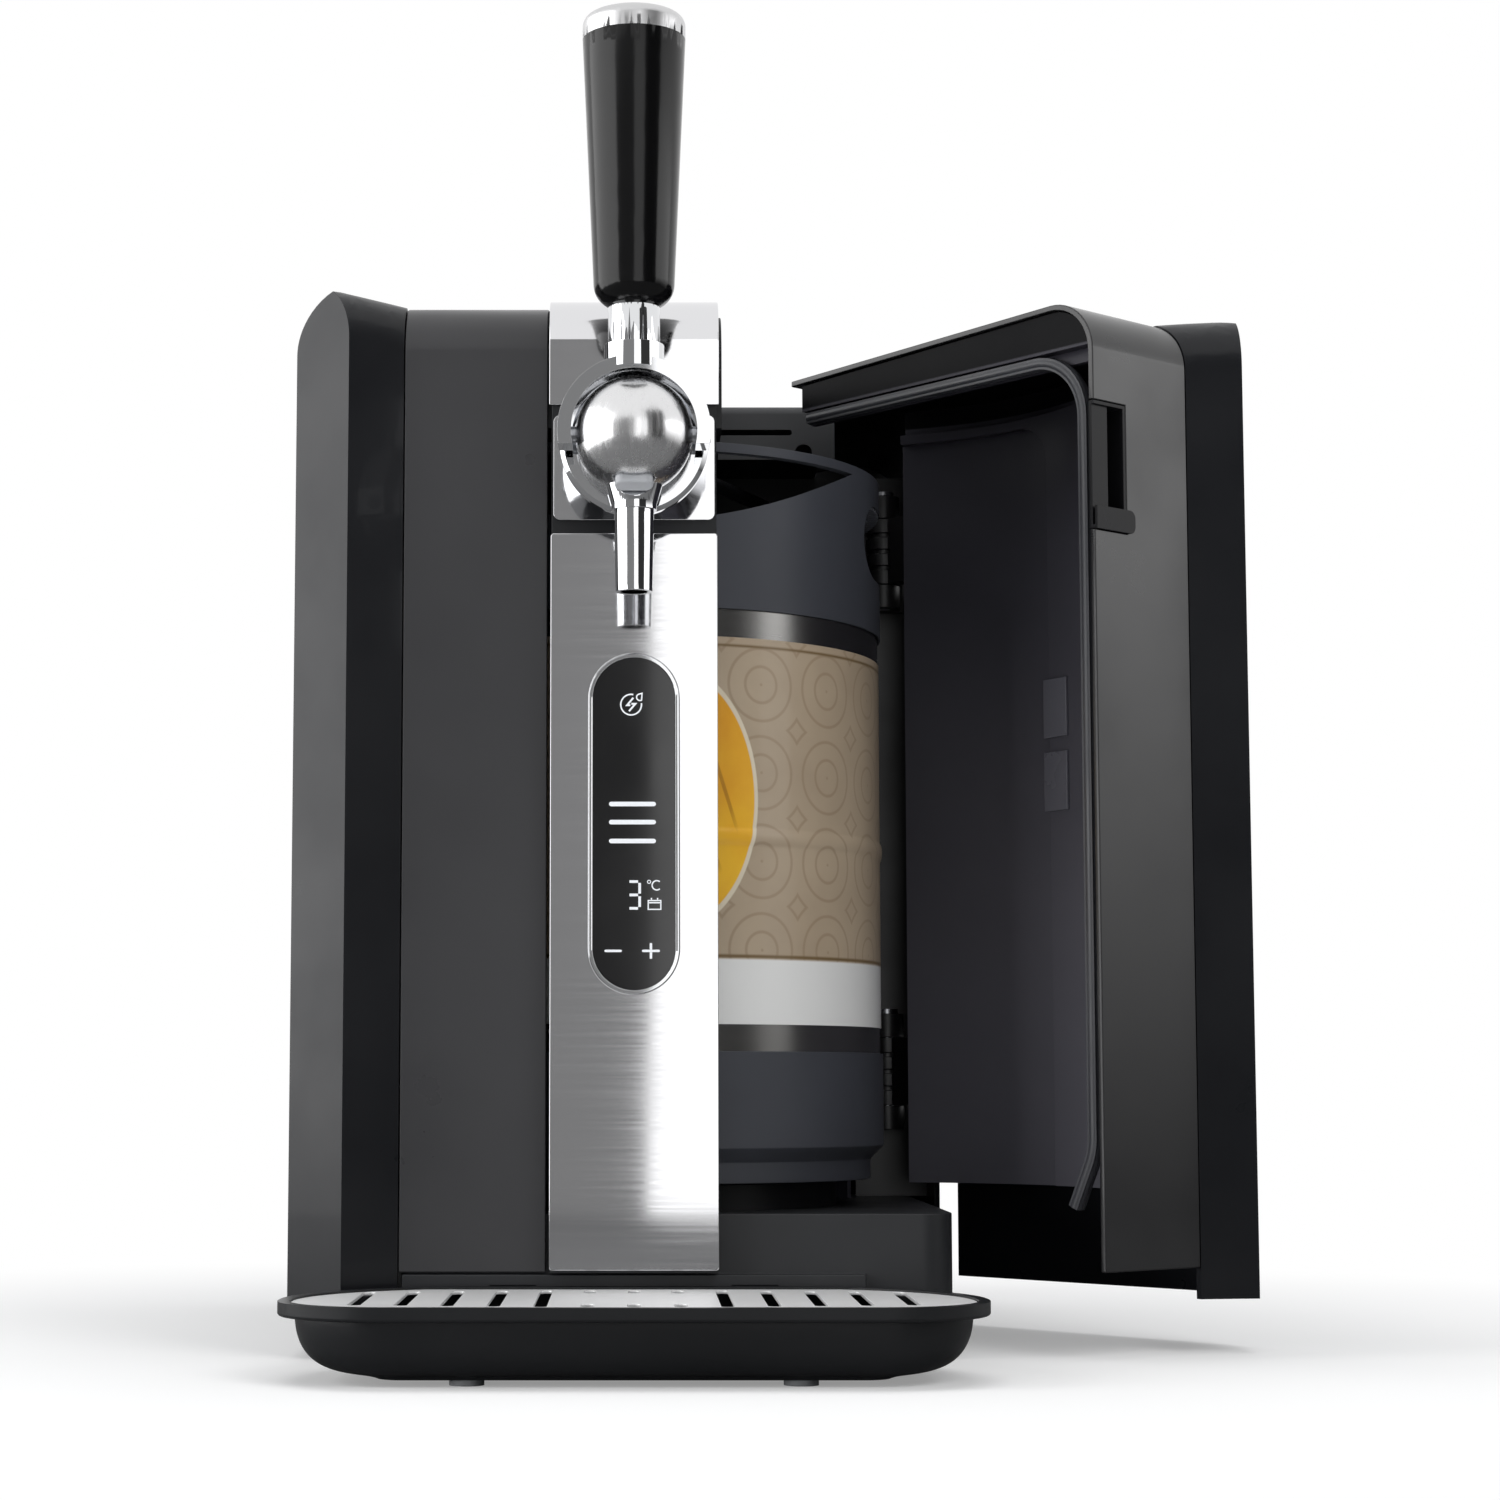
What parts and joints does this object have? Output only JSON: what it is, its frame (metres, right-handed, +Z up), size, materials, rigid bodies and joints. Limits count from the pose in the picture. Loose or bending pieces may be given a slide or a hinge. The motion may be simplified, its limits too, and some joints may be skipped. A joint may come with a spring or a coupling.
{
  "type": "home beer keg dispenser",
  "caption": "Countertop draught beer machine: a cooled bay holding a small keg behind a hinged door, with a tap on a display column and a pull-out drip tray.",
  "frame": {"origin": "on the table, at the middle of the centre foot, under the keg's axis", "axes": "+X to the machine's right seen from the front, +Y to its back, +Z up"},
  "size_m": [0.3704, 0.4435, 0.495],
  "materials": {
    "shell": "satin dark grey",
    "panel": "gloss dark grey",
    "back_plastic": "fine grain",
    "inner_black": "satin",
    "circuit_board": "solder mask",
    "liner_grey": "satin",
    "foam": "foam",
    "gasket_rubber": "satin",
    "trim_black": "gloss",
    "hinge_metal": "satin black",
    "steel_small": "plated",
    "bright_plate": "polished",
    "bezel": "polished",
    "display_glass": "gloss black",
    "tap_chrome": "polished",
    "tap_brushed": "brushed",
    "grip_black": "gloss",
    "tab_grey": "gloss",
    "grille_steel": "brushed",
    "aluminium_block": "milled",
    "element_white": "matt",
    "supply_case": "plain",
    "pump_body": "plain",
    "keg_steel": "lacquered",
    "label_print": "printed",
    "collar_slate": "satin",
    "hose_clear": "plain",
    "tray_black_slot": "satin"
  },
  "bodies": {
    "casing": {"air_hose": "hose_clear", "air_pump": "pump_body", "base_screws": "steel_small", "bay_ceiling": "inner_black", "bay_insulation": "foam", "bay_liner": "liner_grey", "beer_line": "hose_clear", "chassis_base": "back_plastic", "column_body": "inner_black", "column_cap": "bright_plate", "column_plate": "bright_plate", "cooling_jacket": "aluminium_block", "display_bezel": "bezel", "display_board": "circuit_board", "display_window": "display_glass", "fan_frame": "inner_black", "front_top_cover": "panel", "heat_sink": "aluminium_block", "hinge_brackets": "hinge_metal", "hinge_pillar": "hinge_metal", "hinge_pins": "steel_small", "keg_coupler": "inner_black", "keg_drum": "keg_steel", "keg_label": "label_print", "keg_lower_collar": "collar_slate", "keg_seat": "inner_black", "keg_upper_collar": "collar_slate", "keg_valve": "inner_black", "left_side_shell": "shell", "main_board": "circuit_board", "power_inlet": "trim_black", "power_supply": "supply_case", "rear_cover": "back_plastic", "rear_cover_screws": "steel_small", "right_rear_shell": "shell", "rubber_feet": "gasket_rubber", "tap_ball": "tap_brushed", "tap_housing": "tap_chrome", "tap_plate": "bright_plate", "tap_spout": "tap_chrome", "thermoelectric_element": "element_white"},
    "door": {"door_front_top_panel": "panel", "door_side_shell": "shell", "door_liner": "liner_grey", "door_insulation": "foam", "door_gasket": "gasket_rubber", "door_pull": "trim_black", "door_catches": "inner_black", "hinge_leaves": "hinge_metal"},
    "tap_lever": {"lever_visor": "tap_chrome", "lever_stem": "tap_chrome", "lever_grip": "grip_black", "lever_cap": "tap_chrome", "tap_axle": "steel_small"},
    "release_button": {"release_tab": "tab_grey"},
    "fan_rotor": {"fan_rotor": "inner_black"},
    "tray": {"drip_tray": "tray_black_slot", "tray_feet": "gasket_rubber"},
    "grille": {"drip_grille": "grille_steel"}
  },
  "joints": [
    {"name": "door_hinge", "type": "hinge", "parent": "casing", "child": "door", "pos_m": [0.11, 0.085, 0.22], "axis": [0, 0, 1], "range_deg": [-40.5, 51.5]},
    {"name": "tap_lever_pivot", "type": "hinge", "parent": "casing", "child": "tap_lever", "pos_m": [0, -0.1564, 0.338], "axis": [1, 0, 0], "range_deg": [0, 50]},
    {"name": "release_press", "type": "slide", "parent": "casing", "child": "release_button", "axis": [0, 0.4695, 0.8829], "range_m": [0, 0.002], "stiffness_N_per_m": 300, "springref_m": -0.001},
    {"name": "fan_spin", "type": "hinge", "parent": "casing", "child": "fan_rotor", "pos_m": [0, 0.17, 0.21], "axis": [0, 1, 0], "continuous": true},
    {"name": "tray_slide", "type": "slide", "parent": "casing", "child": "tray", "axis": [0, -1, 0], "range_m": [0, 0.13]},
    {"name": "grille_lift", "type": "slide", "parent": "tray", "child": "grille", "axis": [0, 0, 1], "range_m": [0, 0.05]}
  ]
}
